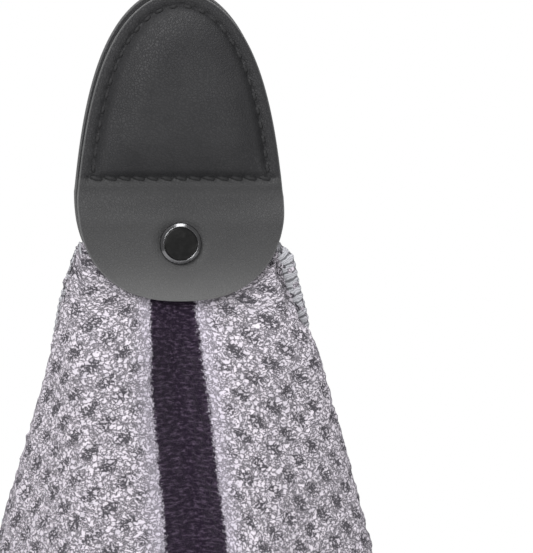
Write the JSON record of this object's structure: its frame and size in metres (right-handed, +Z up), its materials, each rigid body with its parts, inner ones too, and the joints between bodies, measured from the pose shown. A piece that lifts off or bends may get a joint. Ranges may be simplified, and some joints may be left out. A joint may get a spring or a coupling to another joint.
{
  "type": "magnetic golf towel",
  "caption": "Waffle-weave golf towel with a dark centre stripe, held by a snap between the flaps of a stitched leather patch with a hidden magnet.",
  "frame": {"origin": "centre of the magnet, on the flat back face of the leather patch", "axes": "+Z up along the patch, +Y out of the back face toward what the magnet holds, so the front with the snap cap faces -Y; +X to the viewer's right from the front"},
  "size_m": [0.1824, 0.0624, 0.3558],
  "materials": {
    "leather": "charcoal pebbled synthetic leather, satin",
    "thread": "dark charcoal sewing thread",
    "magnet_steel": "nickel-plated, bright",
    "keeper_steel": "zinc-plated sheet, satin",
    "board": "die-cut stiff foam board, matte",
    "foam": "soft foam, matte",
    "gunmetal": "black-plated, glossy",
    "socket_metal": "plated brass, satin",
    "spring_steel": "bright spring wire",
    "towel_fabric": "looped microfibre waffle, pale lilac-grey with dark grey flecks and one dark aubergine stripe, matte",
    "hem_thread": "overlock thread, light grey, matte"
  },
  "bodies": {
    "patch": {"back_panel": "leather", "front_panel": "leather", "magnet": "magnet_steel", "steel_keeper": "keeper_steel", "magnet_frame": "board", "foam_pad": "foam", "edge_thread_top": "thread", "edge_thread_bobbin": "thread", "cross_thread_top": "thread", "cross_thread_bobbin": "thread", "snap_stud": "gunmetal", "stud_rivet": "gunmetal"},
    "flap": {"front_flap": "leather", "snap_cap": "gunmetal", "snap_socket": "socket_metal", "snap_spring": "spring_steel"},
    "towel": {"towel_cloth": "towel_fabric", "towel_eyelet": "gunmetal", "eyelet_washer": "gunmetal", "hem_top": "hem_thread", "hem_bottom": "hem_thread", "hem_left": "hem_thread", "hem_right": "hem_thread"}
  },
  "joints": [
    {"name": "flap_fold", "type": "hinge", "parent": "patch", "child": "flap", "pos_m": [0, -0.0021, -0.0265], "axis": [-1, 0, 0], "range_deg": [0, 100]},
    {"name": "towel_swivel", "type": "hinge", "parent": "patch", "child": "towel", "pos_m": [0, -0.0033, -0.0434], "axis": [0, 1, 0], "range_deg": [-12, 12]}
  ]
}
